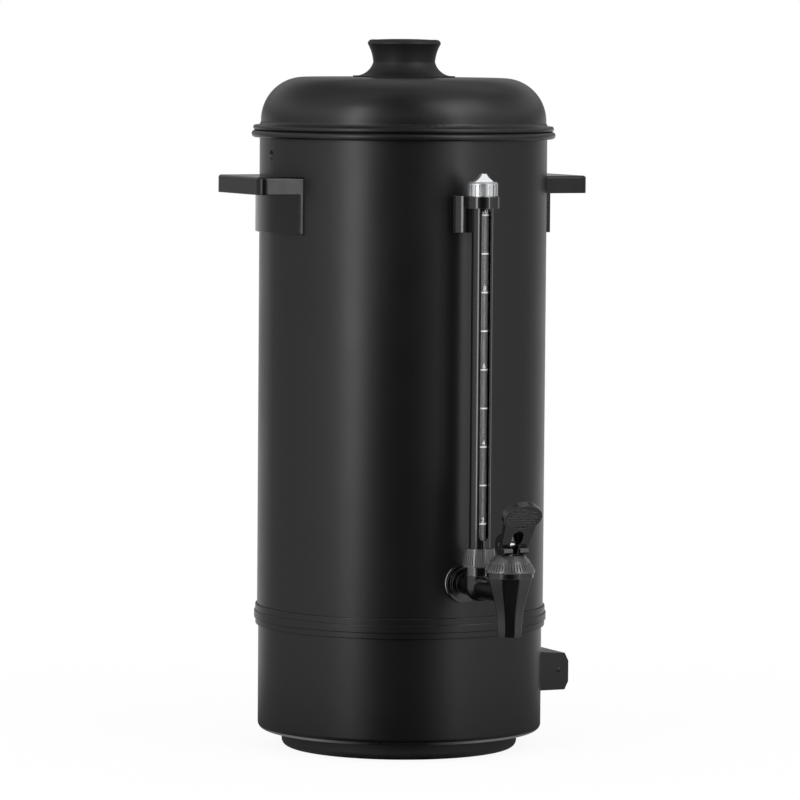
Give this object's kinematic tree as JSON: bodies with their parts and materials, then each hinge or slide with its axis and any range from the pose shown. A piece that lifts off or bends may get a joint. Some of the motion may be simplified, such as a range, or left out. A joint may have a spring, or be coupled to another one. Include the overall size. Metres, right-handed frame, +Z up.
{
  "type": "hot water urn",
  "caption": "Tall cylindrical hot water urn: single-wall drum on a round base, domed lid with a waisted knob, side handles, slotted sight gauge with a scale, and a lever tap.",
  "frame": {"origin": "on the drum's axis, at the surface that the foot ring stands on", "axes": "+Z up along the drum's axis; the tap and sight gauge face -Y; the handles lie along X and the control box is on +X"},
  "size_m": [0.268, 0.3252, 0.5281],
  "materials": {
    "drum_paint": "matte black powder coat",
    "black_plastic": "satin to gloss black moulding",
    "foot_plastic": "fine-grained black moulding",
    "fitting_chrome": "bright plated cap and socket",
    "gauge_glass_clear": "clear tube",
    "seal_rubber": "translucent grey silicone",
    "fastener_steel": "zinc-plated or stainless fastener",
    "heater_aluminium": "cast and machined",
    "element_sheath": "heat-tinted sheath",
    "sensor_body": "phenolic moulding",
    "terminal_ceramic": "unglazed white",
    "inlet_brass": "bare contact pins",
    "lamp_red": "tinted lens"
  },
  "bodies": {
    "urn": {"base_housing": "drum_paint", "base_screws": "fastener_steel", "bonnet_seal": "seal_rubber", "bottom_plate": "fastener_steel", "bracket_screw": "fastener_steel", "bracket_seal": "seal_rubber", "control_box": "black_plastic", "control_box_screws": "fastener_steel", "foot_ring": "foot_plastic", "gauge_bracket": "black_plastic", "gauge_glass": "gauge_glass_clear", "gauge_guard": "black_plastic", "gauge_nut": "black_plastic", "gauge_seals": "seal_rubber", "gauge_socket": "fitting_chrome", "handle_screws": "fastener_steel", "handle_seals": "seal_rubber", "heater_clamp": "fastener_steel", "heater_nut": "fastener_steel", "heater_plate": "heater_aluminium", "heater_stud": "fastener_steel", "heating_element": "element_sheath", "indicator_lamp": "lamp_red", "joint_band": "drum_paint", "left_handle": "black_plastic", "power_inlet": "black_plastic", "power_inlet_pins": "inlet_brass", "power_inlet_screws": "fastener_steel", "right_handle": "black_plastic", "switch_body": "black_plastic", "tank": "drum_paint", "tap_body": "black_plastic", "tap_bonnet": "black_plastic", "tap_inner_nut": "black_plastic", "tap_inner_seal": "seal_rubber", "tap_outer_seal": "seal_rubber", "terminal_block": "terminal_ceramic", "thermal_cutout": "sensor_body", "thermostat": "sensor_body"},
    "lid": {"lid": "drum_paint", "lid_knob": "black_plastic", "lid_knob_washer": "fastener_steel", "lid_knob_screw": "fastener_steel"},
    "valve": {"valve_stem": "fastener_steel", "valve_cup": "seal_rubber", "lever_pin": "fastener_steel", "valve_spring": "fastener_steel"},
    "lever": {"tap_lever": "black_plastic"},
    "gauge_cap": {"gauge_cap": "fitting_chrome"},
    "rocker": {"rocker": "black_plastic"}
  },
  "joints": [
    {"name": "lid_lift", "type": "slide", "parent": "urn", "child": "lid", "axis": [0, 0, 1], "range_m": [0, 0.15]},
    {"name": "valve_lift", "type": "slide", "parent": "urn", "child": "valve", "axis": [0, 0, 1], "range_m": [0, 0.00314], "stiffness_N_per_m": 400, "springref_m": -0.006, "deforming": ["valve_spring"]},
    {"name": "lever_turn", "type": "hinge", "parent": "valve", "child": "lever", "pos_m": [0, -0.186, 0.168], "axis": [1, 0, 0], "range_deg": [0, 37]},
    {"name": "cap_turn", "type": "hinge", "parent": "urn", "child": "gauge_cap", "pos_m": [0, -0.136, 0.42], "axis": [0, 0, 1], "range_deg": [0, 360]},
    {"name": "rocker_tilt", "type": "hinge", "parent": "urn", "child": "rocker", "pos_m": [0.1255, -0.009, 0.0528], "axis": [0, 0, -1], "range_deg": [0, 22]}
  ],
  "couplings": [
    {"joint": "lever_turn", "follows": "valve_lift", "rad_per_m": 200}
  ]
}
